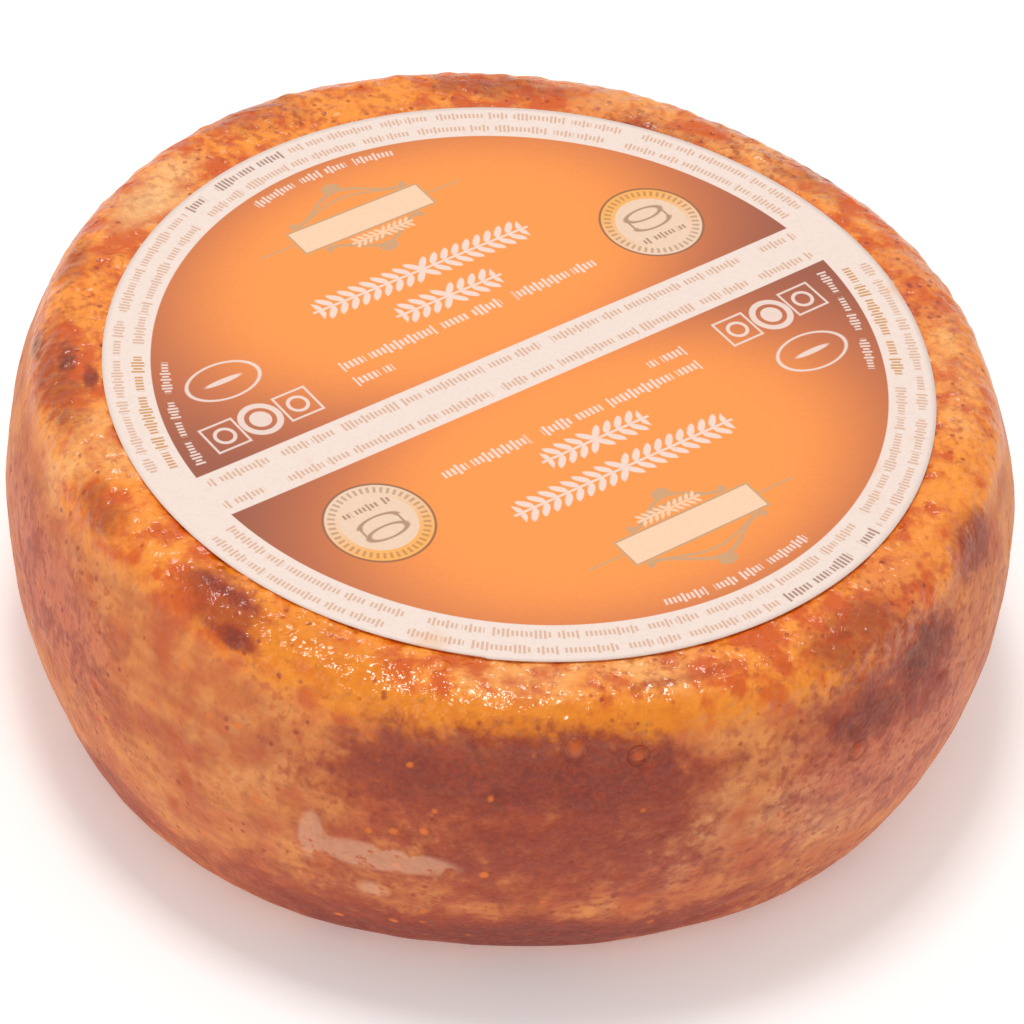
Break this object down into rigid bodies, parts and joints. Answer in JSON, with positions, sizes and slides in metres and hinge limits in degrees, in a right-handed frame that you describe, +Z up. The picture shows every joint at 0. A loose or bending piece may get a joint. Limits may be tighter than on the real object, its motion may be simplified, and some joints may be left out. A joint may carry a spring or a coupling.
{
  "type": "cheese wheel",
  "caption": "Small cured cheese wheel with an oiled, paprika-rubbed rind, barrel side and rounded shoulders, a round paper label on its top face and a flat base to stand on.",
  "frame": {"origin": "middle of the flat base, on the surface that the wheel stands on, under the middle of its outline", "axes": "+Z up through the wheel, from the base to the labelled top face; -Y is the side that the eye meets first"},
  "size_m": [0.1568, 0.1612, 0.0583],
  "materials": {
    "paprika_rind": "cured cheese rind rubbed with paprika and oil: mottled golden orange to red-brown, satin with wet glints",
    "printed_label": "coated paper, satin, printed in orange and brown with a cream rim and cross band"
  },
  "bodies": {
    "root": {"cheese_wheel": "paprika_rind", "paper_label": "printed_label"}
  },
  "joints": []
}
